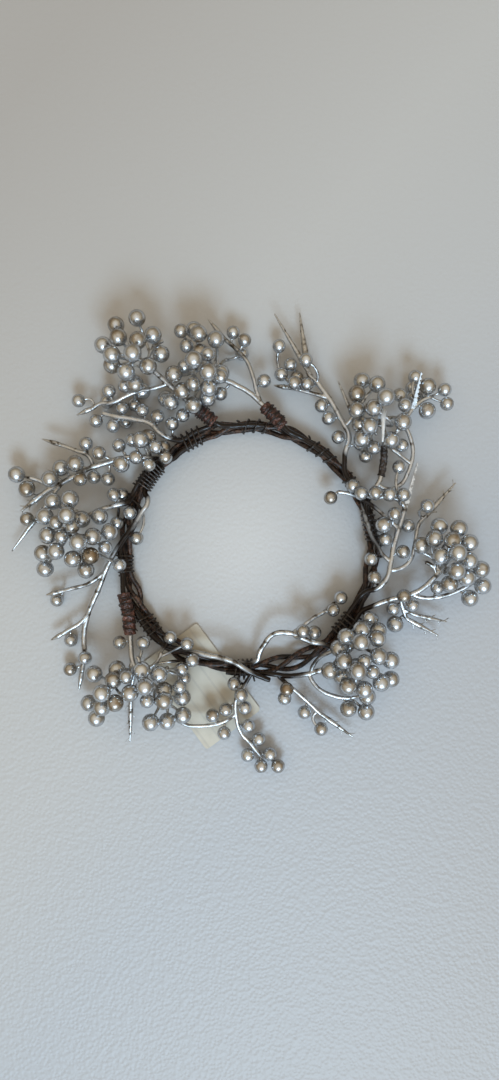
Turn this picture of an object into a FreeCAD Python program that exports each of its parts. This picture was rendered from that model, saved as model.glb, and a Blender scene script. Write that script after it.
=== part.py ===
import FreeCAD, Part
import math
import os

# A candle ring: silver berry picks bound with brown wire round a ring of three twisted vine strands.
# Frame: origin at the ring's centre on the table, +Z up. All sizes are in millimetres.

Vector = FreeCAD.Vector
UP = Vector(0, 0, 1)

# A difference too small to count, and a turn too small to bend a stem
TINY = 1e-6
STRAIGHT_DEGREES = 0.5

# The view that the pixel coordinates below were read in, from straight above
CENTRE_ACROSS_PIXELS = 249.5
CENTRE_DOWN_PIXELS = 550.0
RING_RADIUS_PIXELS = 122.0
EYE_HEIGHT = 380.0

# The ring of twisted strands
RING_RADIUS = 57.5
STRAND_DIAMETER = 2.5
STRAND_GAP = 0.5
STRAND_COUNT = 3
TWISTS = 7
STRAND_END_GAP = 0.8
STRAND_JOINT_DEGREES = 144

# The brown wire that binds the picks to the ring
BINDING_WIRE_DIAMETER = 0.9
BINDING_GAP = 0.25
BINDING_TAIL = 3.0
LOOSE_PITCH = 4.6
DENSE_PITCH = 1.7

# The silver stems of the picks
TRUNK_DIAMETER = 2.3
TWIG_DIAMETER = 1.8
SIDE_TWIG_SHARE = 0.88
BOUGH_DIAMETER = 1.5
BERRY_WIRE_DIAMETER = 1.2
FOOT_GAP = 0.2
FOOT_LENGTH = 15.0
STEM_RISE = 20.0

# The berries, each with a socket that its wire sits in
LARGE_BERRY_DIAMETER = 7.9
SMALL_BERRY_DIAMETER = 6.4
BERRY_GAP = 0.2
SOCKET_DEPTH = 1.2
LAYER_STEP = 6.5

# Thorny tips and the toothed leaf
THORN_LENGTH = 2.6
THORN_DIAMETER = 1.1
THORN_TIP_DIAMETER = 0.2
THORN_ROOT_SHARE = 0.8
SPIKE_TIP_DIAMETER = 0.4
SPIKE_BELLY_SHARE = 1.25
SPIKE_BELLY_PLACE_SHARE = 0.35
SIDE_SPIKE_SHARE = 0.8
LEAF_WIDTH = 2.8
LEAF_THICKNESS = 0.8
LEAF_TOOTH = 1.2
LEAF_TOOTH_SPACING = 2.2
TOOTH_LEAN_SHARE = 0.3

# The tape wound round the feet of some picks, in overlapping turns
FOOT_TAPE_THICKNESS = 1.5
STEM_TAPE_THICKNESS = 0.35
TAPE_STEP = 0.3
TAPE_WIDTH = 3.0
TAPE_PITCH = 2.2
TAPE_GAP = 0.1

# The paper tag that lies under the ring
TAG_LENGTH = 50.8
TAG_WIDTH = 31.75
TAG_THICKNESS = 0.4
TAG_CORNER = 1.5
TAG_GAP = 0.3

# Sampling and search steps of the routes
SAMPLE_STEP = 1.0
NUDGE_SHARE = 0.01
SEARCH_CELL = 5.0
ROUTE_GAP = 0.15

# How berries are parted until none touch
SETTLE_ROUNDS = 600
SETTLE_STEP = 0.8
SETTLE_REST = 0.002
PAIR_PUSH_SHARE = 0.55
PAIR_TILT_SHARE = 0.3

# The boughs of an umbel: how far they reach to their berries, below and beside them
BERRIES_PER_BOUGH = 4
BOUGH_REACH_SHARE = 1.2
BOUGH_PULL_SHARES = (0.62, 0.5, 0.75, 0.4, 0.3)
BOUGH_DROPS = (5.0, 7.0, 3.0, 9.0)
BOUGH_SIDES = (0, 3, -3, 6, -6, 9, -9, 12, -12, 15, -15)
BOUGH_SHIFTS = (1, 2, 4)
BOUGH_LEAST_LENGTH = 5.5
SKIPPED_SAMPLES = 3
FOOT_SAMPLES = 8

# The berry wires: how they may lean and roll into a berry, in degrees
WIRE_CHOICES = 30
BACKWARD_SHARE = 0.6
LEAST_FACING_SHARE = 0.25
WIRE_LEANS_AND_ROLLS = ((30, 0), (12, 0), (45, 0), (30, 40), (30, -40), (0, 0), (40, 80), (40, -80),
                        (30, 130), (30, -130), (60, 0), (60, 60), (60, -60), (30, 180), (60, 180))

# Sizes that follow from those above
SPIKE_ROOM = LEAF_WIDTH / 2 + LEAF_TOOTH / 2
STRAND_RADIUS = STRAND_DIAMETER / 2
TWIST_RADIUS = (STRAND_DIAMETER + STRAND_GAP) / (2 * math.sin(math.pi / STRAND_COUNT))
BUNDLE_RADIUS = TWIST_RADIUS + STRAND_RADIUS
TRUNK_RADIUS = TRUNK_DIAMETER / 2
FOOT_DISTANCE = BUNDLE_RADIUS + TRUNK_RADIUS + FOOT_GAP
FOOT_LEAN_DEGREES = 32
BINDING_LIFT = TRUNK_RADIUS + FOOT_GAP / 2


def binding_bore():
    """Radius of the space inside a binding, round the strands and two feet side by side on top."""
    lean = math.radians(FOOT_LEAN_DEGREES)
    aside = FOOT_DISTANCE * math.sin(lean)
    above = FOOT_DISTANCE * math.cos(lean) - BINDING_LIFT
    return max(BUNDLE_RADIUS + BINDING_LIFT, math.hypot(aside, above) + TRUNK_RADIUS) + BINDING_GAP


BINDING_RADIUS = binding_bore() + BINDING_WIRE_DIAMETER / 2
OVAL_HALF_WIDTH = BUNDLE_RADIUS + BINDING_GAP + BINDING_WIRE_DIAMETER / 2
OVAL_HALF_HEIGHT = OVAL_HALF_WIDTH + BINDING_LIFT
RING_HEIGHT = BINDING_RADIUS + BINDING_WIRE_DIAMETER / 2 - BINDING_LIFT
RING_TOP = RING_HEIGHT + BUNDLE_RADIUS

# How far the ring is out of round, and how loose its twist is, at angles round it
ROUNDNESS_SHARES = ((0, 0.0), (45, -0.02), (90, 0.0), (135, 0.0), (180, 0.0), (225, 0.0), (270, -0.05),
                    (315, -0.02), (360, 0.0))
LOOSENESS_SHARES = ((0, 0.3), (6, 0.0), (62, 0.0), (72, 0.5), (80, 0.0), (97, 0.0), (105, 0.6), (112, 0.0),
                    (160, 0.0), (168, 0.7), (176, 0.0), (193, 0.0), (201, 0.8), (208, 0.0), (220, 0.0),
                    (234, 1.0), (246, 0.0), (264, 0.0), (290, 1.0), (312, 0.0), (340, 0.0), (352, 0.5),
                    (360, 0.3))


def share_at(degrees, shares):
    """Share at an angle, eased between the listed angles."""
    degrees = degrees % 360
    for (before, share_before), (after, share_after) in zip(shares, shares[1:]):
        if before <= degrees <= after:
            ease = (1 - math.cos(math.pi * (degrees - before) / (after - before))) / 2
            return share_before + (share_after - share_before) * ease
    return shares[0][1]


def outward(degrees):
    """Unit direction from the centre at an angle."""
    return Vector(math.cos(math.radians(degrees)), math.sin(math.radians(degrees)), 0)


def ring_point(degrees, across, up):
    """A point beside the ring's centreline: across is outward, up is up."""
    radius = RING_RADIUS * (1 + share_at(degrees, ROUNDNESS_SHARES)) + across
    return outward(degrees) * radius + UP * (RING_HEIGHT + up)


def seen_place(across, down, height):
    """The real place of something seen at a pixel, at a height over the table."""
    scale = RING_RADIUS / RING_RADIUS_PIXELS * (1 - height / EYE_HEIGHT)
    return Vector((across - CENTRE_ACROSS_PIXELS) * scale, (CENTRE_DOWN_PIXELS - down) * scale, height)


def level(share):
    """Height over the table: a share of the stems' rise above the ring's top."""
    return RING_TOP + share * STEM_RISE


# Routes: smooth chains of arcs through points, and the round stems swept along them
def unit(vector):
    return vector * (1 / vector.Length)


def arc_edge(start, corner, end):
    """The arc from start to end whose end tangents meet at the corner."""
    middle = (start + end) * 0.5
    half_chord = (end - start).Length / 2
    reach = (corner - start).Length
    turn = math.acos(min(1, half_chord / reach))
    if turn < math.radians(STRAIGHT_DEGREES):
        return Part.LineSegment(start, end).toShape()
    crown = middle + (corner - middle) * (math.tan(turn / 2) / math.tan(turn))
    return Part.Arc(start, crown, end).toShape()


def biarc_edges(start, start_way, end, end_way):
    """Two arcs that join smoothly, from one point and direction to another."""
    chord = end - start
    ways = start_way + end_way
    spread = 2 * (1 - start_way.dot(end_way))
    along = chord.dot(ways)
    if spread < TINY:
        reach = chord.dot(chord) / (2 * along)
    else:
        reach = (math.sqrt(along * along + spread * chord.dot(chord)) - along) / spread
    first_corner = start + start_way * reach
    last_corner = end - end_way * reach
    joint = (first_corner + last_corner) * 0.5
    return [arc_edge(start, first_corner, joint), arc_edge(joint, last_corner, end)]


def smooth_ways(points, last_way):
    """Directions at the points, so that arcs through them run on smoothly."""
    ways = []
    for before, here, after in zip(points, points[1:], points[2:]):
        back = here - before
        on = after - here
        ways.append(unit(unit(back) * on.Length + unit(on) * back.Length))
    first_leg = unit(points[1] - points[0])
    last_leg = unit(points[-1] - points[-2])
    first = first_leg * (2 * first_leg.dot(ways[0])) - ways[0]
    last = last_way or last_leg * (2 * last_leg.dot(ways[-1])) - ways[-1]
    return [first] + ways + [last]


def swept(edges, radius):
    """A round solid of one radius along a chain of edges."""
    wire = Part.Wire(edges)
    first = edges[0]
    way = first.tangentAt(first.FirstParameter)
    section = Part.Wire([Part.makeCircle(radius, first.valueAt(first.FirstParameter), way)])
    return wire.makePipeShell([section], True, False)


class Stem:
    """A round stem: its edges, its radius and points along it with their directions."""

    def __init__(self, edges, radius):
        self.edges = edges
        self.radius = radius
        self.points = []
        self.ways = []
        self.edge_numbers = []
        for number, edge in enumerate(edges):
            steps = max(2, math.ceil(edge.Length / SAMPLE_STEP))
            for step in range(steps + 1):
                share = step / steps
                parameter = edge.FirstParameter + (edge.LastParameter - edge.FirstParameter) * share
                self.points.append(edge.valueAt(parameter))
                self.ways.append(edge.tangentAt(parameter))
                self.edge_numbers.append(number)

    def nearest(self, place):
        """Number of the sample nearest to a place, seen from above."""
        gaps = [math.hypot(point.x - place.x, point.y - place.y) for point in self.points]
        return gaps.index(min(gaps))

    def solid(self):
        return swept(self.edges, self.radius)

    def stretch(self, sample):
        """The solid of the stem's edges round one of its samples."""
        number = self.edge_numbers[sample]
        return swept(self.edges[max(0, number - 2):number + 3], self.radius)


def stem_through(points, radius, last_way=None):
    """A stem along smooth arcs through points, which may end in a stated direction."""
    ways = smooth_ways(points, last_way)
    edges = []
    for number in range(len(points) - 1):
        edges += biarc_edges(points[number], ways[number], points[number + 1], ways[number + 1])
    return Stem(edges, radius)


def stem_leaving(start, way, end, radius):
    """A stem of one arc that leaves a point in a direction and ends at another."""
    chord = end - start
    lean = chord.dot(way)
    if lean < LEAST_FACING_SHARE * chord.Length:
        way = unit(unit(chord) + way)
        lean = chord.dot(way)
    corner = start + way * (chord.dot(chord) / (2 * lean))
    return Stem([arc_edge(start, corner, end)], radius)


# Three strands twisted together, each open under the dense binding
def strand_point(number, degrees):
    phase = math.radians(TWISTS * degrees) + 2 * math.pi * number / STRAND_COUNT
    across = TWIST_RADIUS * (1 + share_at(degrees, LOOSENESS_SHARES)) * math.cos(phase)
    return ring_point(degrees, across, TWIST_RADIUS * math.sin(phase))


def ring_strand(number):
    opening = math.degrees(STRAND_END_GAP / RING_RADIUS)
    quarter_twists = 4 * TWISTS
    span = 360 - opening
    nudge = span / quarter_twists * NUDGE_SHARE
    degrees = [STRAND_JOINT_DEGREES + opening / 2 + span * step / quarter_twists
               for step in range(quarter_twists + 1)]
    points = [strand_point(number, angle) for angle in degrees]
    ways = [unit(strand_point(number, angle + nudge) - strand_point(number, angle - nudge))
            for angle in degrees]
    edges = []
    for step in range(quarter_twists):
        edges += biarc_edges(points[step], ways[step], points[step + 1], ways[step + 1])
    return Stem(edges, STRAND_RADIUS)


# Windings of binding wire: from and to angles round the ring, the pitch of their loops, and the side of
# the one foot that each holds, as in the picks below, or both sides
BOTH = None
WINDINGS = {
    "right_binding_wire": (4, 18, LOOSE_PITCH / 2, 0),
    "top_right_binding_wire": (27, 37, LOOSE_PITCH / 2, 0),
    "top_binding_wire": (47, 62, LOOSE_PITCH, 0),
    "top_left_binding_wire": (81, 95, LOOSE_PITCH, 0),
    "left_upper_binding_wire": (113, 123, LOOSE_PITCH / 2, BOTH),
    "left_dense_binding_wire": (137, 150, DENSE_PITCH, BOTH),
    "left_binding_wire": (182, 191, DENSE_PITCH, 1),
    "bottom_left_binding_wire": (212, 222, LOOSE_PITCH / 2, 1),
    "bottom_binding_wire": (263, 272, LOOSE_PITCH / 2, BOTH),
    "bottom_right_binding_wire": (316, 328, LOOSE_PITCH / 2, BOTH),
}


def winding_point(start, end, turns, side, turned):
    """A point of a loop: a circle round two feet, or an oval drawn tight round one."""
    degrees = start + (end - start) * turned / turns
    phase = 2 * math.pi * turned
    lean = math.radians(FOOT_LEAN_DEGREES) * (side or 0)
    half_width = BINDING_RADIUS if side is BOTH else OVAL_HALF_WIDTH
    half_height = BINDING_RADIUS if side is BOTH else OVAL_HALF_HEIGHT
    aside = (half_width + TWIST_RADIUS * share_at(degrees, LOOSENESS_SHARES)) * math.cos(phase)
    above = BINDING_LIFT + half_height * math.sin(phase)
    return ring_point(degrees, aside * math.cos(lean) + above * math.sin(lean),
                      above * math.cos(lean) - aside * math.sin(lean))


def winding(start, end, pitch, side):
    """One unbroken wire wound round the strands and the feet, with a short tail."""
    length = math.radians(end - start) * RING_RADIUS
    turns = max(3, round(length / pitch))
    quarters = 4 * turns
    nudge = NUDGE_SHARE / 4
    points = [winding_point(start, end, turns, side, step / 4) for step in range(quarters + 1)]
    ways = [unit(winding_point(start, end, turns, side, step / 4 + nudge)
                 - winding_point(start, end, turns, side, step / 4 - nudge)) for step in range(quarters + 1)]
    edges = []
    for step in range(quarters):
        edges += biarc_edges(points[step], ways[step], points[step + 1], ways[step + 1])
    edges.append(Part.LineSegment(points[-1], points[-1] + ways[-1] * BINDING_TAIL).toShape())
    return Stem(edges, BINDING_WIRE_DIAMETER / 2)


def least_gap_to_itself(stem):
    """Least gap between stretches of a wound wire that lie more than half a loop apart."""
    apart = int(math.pi * BINDING_RADIUS / SAMPLE_STEP)
    least = None
    for number, point in enumerate(stem.points):
        for other in stem.points[number + apart:]:
            gap = (other - point).Length - 2 * stem.radius
            least = gap if least is None else min(least, gap)
    return least


# The picks. A route's points are (pixel across, pixel down, share of the stems' rise).
# A foot is (angle where it leaves the ring, side: 0 on top, 1 towards the outside, -1 the inside).
# Berries are (pixel across, pixel down, layer): 0 level with the dome or the twig, 1 over it, -1 under it.
# A spike ends a stem: (number of the stem, its tip, how many thorns). A side spike and a leaf grow from the
# side of a stem, at a pixel. A tape covers a stem from one pixel to another.
TOP = {
    "trunks": [
        {"foot": (64, 0), "route": ((288, 431, 0.16), (276, 418, 0.19), (263, 405, 0.22), (250, 393, 0.26),
                                    (236, 385, 0.3), (221, 378, 0.32), (208, 370, 0.34))},
    ],
    "twigs": [
        ((262, 404, 0.22), (256, 389, 0.25), (253, 377, 0.25), (246, 360, 0.2), (236, 349, 0.15),
         (222, 336, 0.1)),
    ],
    "spikes": [(1, (208, 319, 0.1), 0)],
    "tapes": [(0, (284, 427), (266, 408), FOOT_TAPE_THICKNESS)],
    "dome": ((200, 362), 42, 0.5, 0.62),
    "large": ((194, 330, -1), (200, 335, 0), (214, 339, 0), (200, 351, -1), (195, 361, 1), (207, 371, 1),
              (221, 373, -1), (210, 385, 0), (176, 377, 0), (185, 391, 0), (175, 397, 0), (166, 399, -1),
              (194, 401, 0), (205, 404, 0)),
    "small": ((181, 331, 0), (187, 346, -1), (208, 354, 0), (218, 379, 0), (194, 385, 0), (184, 367, -1),
              (216, 396, -1), (233, 333, 0), (244, 340, 0), (242, 354, -1), (264, 381, 0)),
}

TOP_LEFT = {
    "trunks": [
        {"foot": (98, 0), "route": ((217, 424, 0.16), (208, 417, 0.19), (199, 410, 0.22), (188, 401, 0.26),
                                    (176, 391, 0.3), (166, 382, 0.34), (154, 371, 0.38), (143, 361, 0.4))},
        {"foot": (122, 1), "route": ((164, 436, 0.16), (149, 423, 0.15), (133, 419, 0.12), (114, 416, 0.06),
                                     (103, 413, 0.0))},
    ],
    "twigs": [
        ((168, 384, 0.33), (151, 389, 0.28), (139, 391, 0.24), (126, 396, 0.2), (114, 402, 0.16),
         (99, 404, 0.08), (91, 409, 0.02)),
    ],
    "spikes": [(2, (77, 415, -0.04), 0)],
    "tapes": [(0, (215, 423), (200, 411), FOOT_TAPE_THICKNESS)],
    "dome": ((132, 353), 36, 0.55, 0.75),
    "large": ((137, 318, 0), (153, 335, 0), (116, 325, -1), (118, 338, 0), (103, 345, 0), (112, 354, 0),
              (112, 365, -1), (138, 340, 0), (132.5, 353, 1), (161, 354, 0), (148, 366, 0), (126, 372, 0),
              (135, 384, 0), (142, 392, -1)),
    "small": ((80, 404, 0), (109, 391, 0), (107, 402, -1), (126, 389, 0), (96, 421, 0), (114, 421, 0),
              (120, 412, 0), (126, 422, -1), (142, 412, 0), (134, 404, -1), (182, 416, 0), (173, 423, 0),
              (157, 417, 0)),
}

LEFT_UPPER = {
    "trunks": [
        {"foot": (131, -1), "route": ((157, 459, 0.16), (139, 457, 0.2), (119, 459, 0.22), (103, 464, 0.2),
                                      (90, 468, 0.18), (75, 476, 0.15), (60, 484, 0.1), (43, 494, 0.05))},
    ],
    "twigs": [
        ((94, 467, 0.18), (88, 456, 0.18), (75, 450, 0.15), (61, 445, 0.1)),
        ((62, 483, 0.1), (52, 497, 0.06), (44, 508, 0.03)),
        ((52, 488, 0.08), (40, 481, 0.1), (30, 478, 0.1)),
    ],
    "spikes": [(0, (21, 511, 0.0), 6), (1, (42, 439, 0.05), 0), (2, (12, 551, -0.1), 0)],
    "large": ((75.5, 464, 1), (61, 468, 0), (50, 479, 1), (17, 475, 0), (27, 488, 0), (149, 435, 0),
              (145, 442, 1), (126, 463, 1)),
    "small": ((86, 444, 0), (99, 453, 1), (80, 479, 1), (94, 477, 0), (108, 479, 0), (120, 445, 0),
              (135, 440, 0), (155, 448, 1), (165, 444, 0), (162, 454, 1), (134, 461, 1), (144, 463, 1)),
}

LEFT = {
    "trunks": [
        {"foot": (156, 1), "route": ((128, 502, 0.14), (118, 505, 0.18), (106, 508, 0.22), (92, 514, 0.26),
                                     (78, 521, 0.28), (66, 529, 0.3))},
    ],
    "twigs": [],
    "spikes": [],
    "dome": ((74, 532), 48, 0.42, 0.6),
    "large": ((51, 505, 0), (70, 499, 1), (48, 513, 0), (67, 516, 1), (49, 534, 0), (78, 542.5, 1),
              (94, 537, 0), (108, 533, 0), (43, 554, 0), (57, 551, 0), (73, 558, 0), (92, 554, 0),
              (45, 568, 0), (86, 570, 0), (98, 516, -1), (83, 519, -1)),
    "small": ((54, 524, 0), (70, 528, 0), (63, 534, 0), (102, 548, 0), (27, 519, 0), (118, 501, 0),
              (128, 498, 0), (136, 508, 0), (134, 536, 0), (120, 565, 0), (122, 526, -1)),
}

LEFT_TWIG = {
    "trunks": [
        {"foot": (151, -1), "route": ((148, 499, 0.13), (139, 517, 0.18), (120, 544, 0.21),
                                      (107, 567, 0.16), (99, 588, 0.06), (89, 612, -0.02),
                                      (84.5, 630, -0.06), (84.5, 649, -0.1))},
    ],
    "twigs": [
        ((106, 570, 0.15), (90, 583, 0.1), (70, 589, 0.05), (58, 592, 0.02)),
        ((91, 610, 0.0), (80, 623, 0.0), (70, 629, -0.02), (62, 634, -0.05)),
        ((84.5, 648, -0.1), (84, 660, -0.12), (82, 672, -0.12)),
    ],
    "spikes": [(1, (46, 595, 0.0), 0), (2, (51, 640, -0.08), 0), (3, (79, 690, -0.14), 0)],
    "large": (),
    "small": ((57, 600, -1), (71, 640, -1), (85, 658, 1), (75, 671, 0)),
}

BOTTOM_LEFT = {
    "trunks": [
        {"foot": (192, 1), "route": ((123, 590, 0.1), (128, 612, 0.12), (130, 632, 0.13), (131, 648, 0.16),
                                     (132, 659, 0.22), (135, 668, 0.26), (139, 678, 0.3))},
    ],
    "twigs": [
        ((133, 661, 0.24), (128, 672, 0.28), (118, 683, 0.3), (107, 692, 0.26)),
        ((138, 674, 0.29), (150, 682, 0.3), (160, 693, 0.3), (167, 704, 0.26)),
        ((135, 669, 0.27), (132, 684, 0.16), (131, 700, 0.06)),
    ],
    "spikes": [(3, (130, 742, -0.14), 5)],
    "tapes": [(0, (124, 594), (130, 633), FOOT_TAPE_THICKNESS)],
    "dome": ((134, 690), 48, 0.42, 0.55),
    "large": ((94, 674, 0), (117, 669, -1), (115, 680, 0), (140, 672, 0), (157, 674, 0), (102, 693, 1),
              (130, 693, 0), (145, 687, 1), (89, 703, -1), (115, 703, 0), (101, 709, 0), (97, 717, 0),
              (164, 701, 1), (163, 691, -1), (182, 700, 0), (181, 714, 0), (153, 722, 0), (166, 721, 0)),
    "small": ((128, 676, 0), (147, 701, 0), (178, 687, 0), (123, 641, 0), (143, 643, 0), (169, 642, 0),
              (187, 645, 0), (192.5, 659, 0), (182, 669, 0), (184, 678, -1)),
}

BOTTOM = {
    "trunks": [
        {"foot": (223, 1), "route": ((167, 646, 0.12), (184, 650, 0.15), (202, 654, 0.2), (231, 661, 0.27),
                                     (252, 673, 0.24), (270, 680, 0.17))},
    ],
    "twigs": [
        ((253, 673, 0.24), (244, 686, 0.18), (236, 700, 0.12), (236, 716, 0.07), (240, 731, 0.0),
         (250, 743, -0.05), (260, 755, -0.08)),
        ((236, 714, 0.07), (223, 722, 0.08), (202, 726, 0.08), (184, 724, 0.1), (173, 716, 0.14)),
    ],
    "spikes": [],
    "large": (),
    "small": ((236, 682, 0), (241, 695, 1), (241.5, 708, 0), (228, 712, 0), (213, 717, 0), (224, 733, 0),
              (246, 727, 0), (256, 741, 0), (249, 754, 0), (270, 754, 0), (261, 766, 0), (278, 766, 0)),
}

BOTTOM_RIGHT = {
    "trunks": [
        {"foot": (274, 1), "route": ((271, 674, 0.12), (290, 676, 0.12), (307, 674, 0.18),
                                     (322, 670, 0.24), (338, 667, 0.28), (354, 664, 0.3))},
        {"foot": (272, -1), "route": ((262, 648, 0.14), (274, 634, 0.18), (290, 633, 0.2), (309, 641, 0.2),
                                      (326, 645, 0.22), (340, 650, 0.26))},
    ],
    "twigs": [
        ((310, 673, 0.18), (316, 661, 0.26), (330, 652, 0.32), (348, 648, 0.34), (362, 646, 0.34)),
        ((308, 674, 0.18), (318, 688, 0.2), (334, 696, 0.2), (350, 698, 0.18)),
        ((292, 634, 0.2), (300, 628, 0.16), (312, 619, 0.12), (324, 612, 0.1)),
        ((276, 675, 0.12), (287, 684, 0.1), (299, 694, 0.08), (309, 703, 0.04), (321, 714, 0.0)),
    ],
    "spikes": [(5, (353, 737, -0.1), 4)],
    "dome": ((358, 662), 44, 0.45, 0.62),
    "large": ((346, 637, 0), (362, 630, 0), (361, 642, 1), (377, 629, -1), (377, 640, 0), (339, 648, -1),
              (344, 661, 0), (378, 656, 0), (390, 660, 0), (330, 671, 0), (358, 671, 1), (342, 677, -1),
              (350, 686, 0), (362, 689, 0), (367, 697, -1), (381, 683, 0), (391, 679, -1), (351, 706, 0),
              (362, 710, 0)),
    "small": ((370, 619, 0), (366, 662, 0), (372, 670, 0), (287, 684, 0), (285, 696, 0), (309, 707, 0),
              (323, 726, 0), (303, 631, 1), (314, 634, 0), (332, 610, 0), (340.5, 598, 0)),
}

RIGHT = {
    "trunks": [
        {"foot": (331, 1), "route": ((378, 604, 0.14), (392, 599, 0.16), (406, 596, 0.18), (420, 590, 0.22),
                                     (433, 579, 0.26), (444, 566, 0.28))},
    ],
    "twigs": [
        ((412, 595, 0.19), (426, 598, 0.18), (444, 596, 0.2), (460, 590, 0.24), (472, 583, 0.28)),
        ((400, 597, 0.17), (403, 609, 0.1), (409, 620, 0.03)),
        ((403, 608, 0.1), (411, 613, 0.09), (420, 616, 0.06)),
    ],
    "spikes": [(2, (439, 636, -0.1), 5), (3, (447, 622, -0.05), 4)],
    "dome": ((456, 556), 40, 0.42, 0.6),
    "large": ((439, 527.5, 0), (435, 540, 0), (425, 544, 0), (460, 530, 0), (449, 541, 0), (467.5, 542, 0),
              (441, 555, 0), (458, 553.5, 1), (469, 560.5, 0), (457, 570, 1), (467.5, 577, 0), (480, 570, 0),
              (482, 586, 0), (450, 584, 0), (468, 595, 0), (395, 624, 0)),
    "small": ((435, 585, -1), (404, 596, 1), (394.5, 604, 0), (411, 603, 0), (369, 620, 0)),
}

RIGHT_INNER = {
    "trunks": [
        {"foot": (331, -1), "route": ((366, 592, 0.16), (378, 588, 0.24), (387, 578, 0.28), (391, 562, 0.28),
                                      (394, 546, 0.26), (400, 525, 0.26), (405, 508, 0.26))},
    ],
    "twigs": [
        ((398, 530, 0.26), (390, 521, 0.24), (378, 510, 0.22), (364, 500, 0.2), (350, 494, 0.2),
         (338, 492, 0.2)),
        ((391, 562, 0.28), (384, 556, 0.27), (377, 545, 0.26), (371, 534, 0.26)),
        ((389, 570, 0.28), (399, 569, 0.28), (410, 561, 0.27), (414, 549, 0.27), (416, 538, 0.26),
         (419, 524, 0.22), (427, 515, 0.2)),
        ((406, 505, 0.26), (398, 500, 0.3), (388, 497, 0.32), (374, 499, 0.32)),
    ],
    "spikes": [(2, (361, 503, 0.26), 5), (3, (455.5, 483, 0.12), 6)],
    "leaves": [(0, (405, 510), (416, 462, 0.3))],
    "large": ((388, 528, 0),),
    "small": ((333, 496, 0), (354, 488, 0), (362, 492, 1), (374, 493, 1), (391, 494.5, 1), (401, 494.5, 1),
              (399, 467, 0), (394.5, 514, 1), (380, 545, 0), (371, 559, 0), (404, 552, 0), (408.6, 526, 0),
              (375, 578, 0), (427.5, 506, 1)),
}

TOP_RIGHT = {
    "trunks": [
        {"foot": (20, 0), "route": ((372, 493, 0.14), (379, 482, 0.17), (383, 465, 0.2), (384, 447, 0.24),
                                    (384, 432, 0.28), (381, 418, 0.32))},
        {"foot": (38, 0), "route": ((345, 455, 0.14), (349, 436, 0.17), (341.5, 420, 0.18),
                                    (332, 403, 0.17), (319, 385, 0.14), (308, 371, 0.1))},
    ],
    "twigs": [
        ((328, 398, 0.16), (315, 394, 0.14), (300, 390, 0.1), (288, 387.5, 0.08)),
        ((345, 427, 0.18), (352, 418, 0.24), (358, 408, 0.3), (364, 399, 0.3)),
        ((384, 438, 0.26), (394, 434, 0.3), (404, 424, 0.32), (411, 411, 0.32), (420, 402, 0.28),
         (430, 397, 0.24)),
        ((379, 485, 0.17), (390, 489, 0.18), (401, 484, 0.2), (409, 470, 0.22), (413, 454, 0.24),
         (411, 440, 0.27), (406, 428, 0.3)),
        ((410, 463, 0.23), (401, 456, 0.23), (392, 449, 0.24)),
    ],
    "spikes": [(1, (299.5, 313, -0.05), 0), (2, (274, 385.5, 0.04), 0)],
    "side_spikes": [(1, (313, 378), (274.6, 314, 0.1)), (3, (352, 418), (338, 381, 0.3)),
                    (0, (381, 419), (383, 441, 1.25))],
    "leaves": [(0, (380, 482), (341, 448, 0.24)), (4, (411, 413), (420, 371, 0.95))],
    "tapes": [(0, (381.5, 476), (384, 448), STEM_TAPE_THICKNESS)],
    "dome": ((382, 412), 38, 0.5, 0.55),
    "large": ((357, 394, 0), (363, 381, -1), (376, 384, -1), (357, 410, 0), (385, 398, 1), (374, 411, 0),
              (360, 424, -1), (374, 428, 0), (367, 438, 0), (391, 440, 0), (403, 422, 0), (427, 391.5, 0),
              (426, 409, 0)),
    "small": ((286, 342, 0), (296, 362, 0), (306, 360, 1), (304, 375, 0), (312, 386, 0), (282, 379, 0),
              (295, 383, 1), (322.6, 404, 0), (333, 415.5, 0), (343, 437, 0), (372, 445, 0), (361, 447, 0),
              (363, 459, 0), (401, 452, 0), (417, 379, 0), (412, 388, -1), (417, 400, -1), (445, 391.5, 0),
              (446.5, 402, 0), (400, 395, -1), (405, 405, 0)),
}

PICKS = {
    "top": TOP,
    "top_left": TOP_LEFT,
    "left_upper": LEFT_UPPER,
    "left": LEFT,
    "left_twig": LEFT_TWIG,
    "bottom_left": BOTTOM_LEFT,
    "bottom": BOTTOM,
    "bottom_right": BOTTOM_RIGHT,
    "right": RIGHT,
    "right_inner": RIGHT_INNER,
    "top_right": TOP_RIGHT,
}


def foot_points(leaves, side):
    """Points of a pick's foot, which lies along the ring's top before it leaves."""
    lean = math.radians(FOOT_LEAN_DEGREES) * side
    across = FOOT_DISTANCE * math.sin(lean)
    above = FOOT_DISTANCE * math.cos(lean)
    back = math.degrees(FOOT_LENGTH / RING_RADIUS)
    return [ring_point(leaves - back * share, across, above) for share in (1, 0.5, 0)]


def route_places(route):
    return [seen_place(across, down, level(share)) for across, down, share in route]


# Search among points already taken, so that new wires pass clear of them
class Taken:
    """Round things in space, found again by the cell that they lie in."""

    def __init__(self, cell_size):
        self.cell_size = cell_size
        self.cells = {}

    def cell(self, place):
        return tuple(math.floor(value / self.cell_size) for value in (place.x, place.y, place.z))

    def add(self, place, radius, owner):
        self.cells.setdefault(self.cell(place), []).append((place, radius, owner))

    def add_stem(self, stem, owner):
        for point in stem.points:
            self.add(point, stem.radius, owner)

    def near(self, place):
        across, along, high = self.cell(place)
        for i in (across - 1, across, across + 1):
            for j in (along - 1, along, along + 1):
                for k in (high - 1, high, high + 1):
                    yield from self.cells.get((i, j, k), ())

    def room(self, place, radius, owners):
        """Least gap from a ball at a place to everything that isn't one of the owners."""
        least = self.cell_size
        for other, other_radius, owner in self.near(place):
            if owner not in owners:
                least = min(least, (other - place).Length - other_radius - radius)
        return least


class Berry:
    def __init__(self, pick, place, radius, size):
        self.pick = pick
        self.place = place
        self.radius = radius
        self.size = size
        self.wire = None
        self.stem_number = None
        self.root = None


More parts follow.
